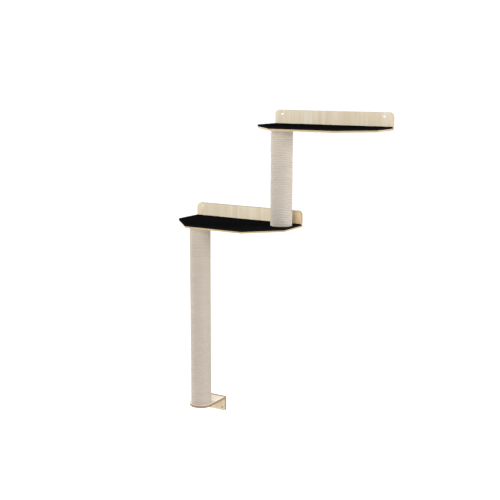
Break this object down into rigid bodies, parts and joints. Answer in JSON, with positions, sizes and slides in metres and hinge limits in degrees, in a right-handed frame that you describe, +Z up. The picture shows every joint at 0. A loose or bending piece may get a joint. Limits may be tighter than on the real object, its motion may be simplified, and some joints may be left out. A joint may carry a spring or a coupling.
{
  "type": "wall mounted cat tree",
  "caption": "Wall mounted cat tree: padded shelves with wall panels and a foot bracket, stepped up to the right and joined by rope-wound scratching posts.",
  "frame": {"origin": "centre of the middle wall panel's back face, on the wall", "axes": "+Z up, +Y into the wall, +X to the right along the wall as seen from the room"},
  "size_m": [0.913, 0.28, 1.3432],
  "materials": {
    "plywood": "pale plywood, clear matt lacquer",
    "pad_felt": "black short-pile felt",
    "rope": "off-white twisted rope",
    "cardboard": "plain spiral-wound board",
    "end_plug": "moulded",
    "zinc_steel": "zinc plated"
  },
  "bodies": {
    "root": {"foot_wall_plate": "plywood", "foot_base_plate": "plywood", "foot_bracket_screw_1": "zinc_steel", "foot_bracket_screw_2": "zinc_steel", "lower_post_tube": "cardboard", "lower_post_rope": "rope", "lower_post_top_plug": "end_plug", "lower_post_top_insert": "zinc_steel", "lower_post_bottom_plug": "end_plug", "lower_post_bottom_insert": "zinc_steel", "lower_post_top_bolt": "zinc_steel", "lower_post_bottom_washer": "zinc_steel", "lower_post_bottom_bolt": "zinc_steel", "middle_wall_panel": "plywood", "middle_shelf_board": "plywood", "middle_shelf_pad": "pad_felt", "middle_panel_screw_1": "zinc_steel", "middle_panel_screw_2": "zinc_steel", "middle_panel_screw_3": "zinc_steel", "middle_panel_screw_4": "zinc_steel", "upper_post_tube": "cardboard", "upper_post_rope": "rope", "upper_post_top_plug": "end_plug", "upper_post_top_insert": "zinc_steel", "upper_post_bottom_plug": "end_plug", "upper_post_bottom_insert": "zinc_steel", "upper_post_top_bolt": "zinc_steel", "upper_post_bottom_washer": "zinc_steel", "upper_post_bottom_bolt": "zinc_steel", "upper_wall_panel": "plywood", "upper_shelf_board": "plywood", "upper_shelf_pad": "pad_felt", "upper_panel_screw_1": "zinc_steel", "upper_panel_screw_2": "zinc_steel", "upper_panel_screw_3": "zinc_steel", "upper_panel_screw_4": "zinc_steel"}
  },
  "joints": []
}
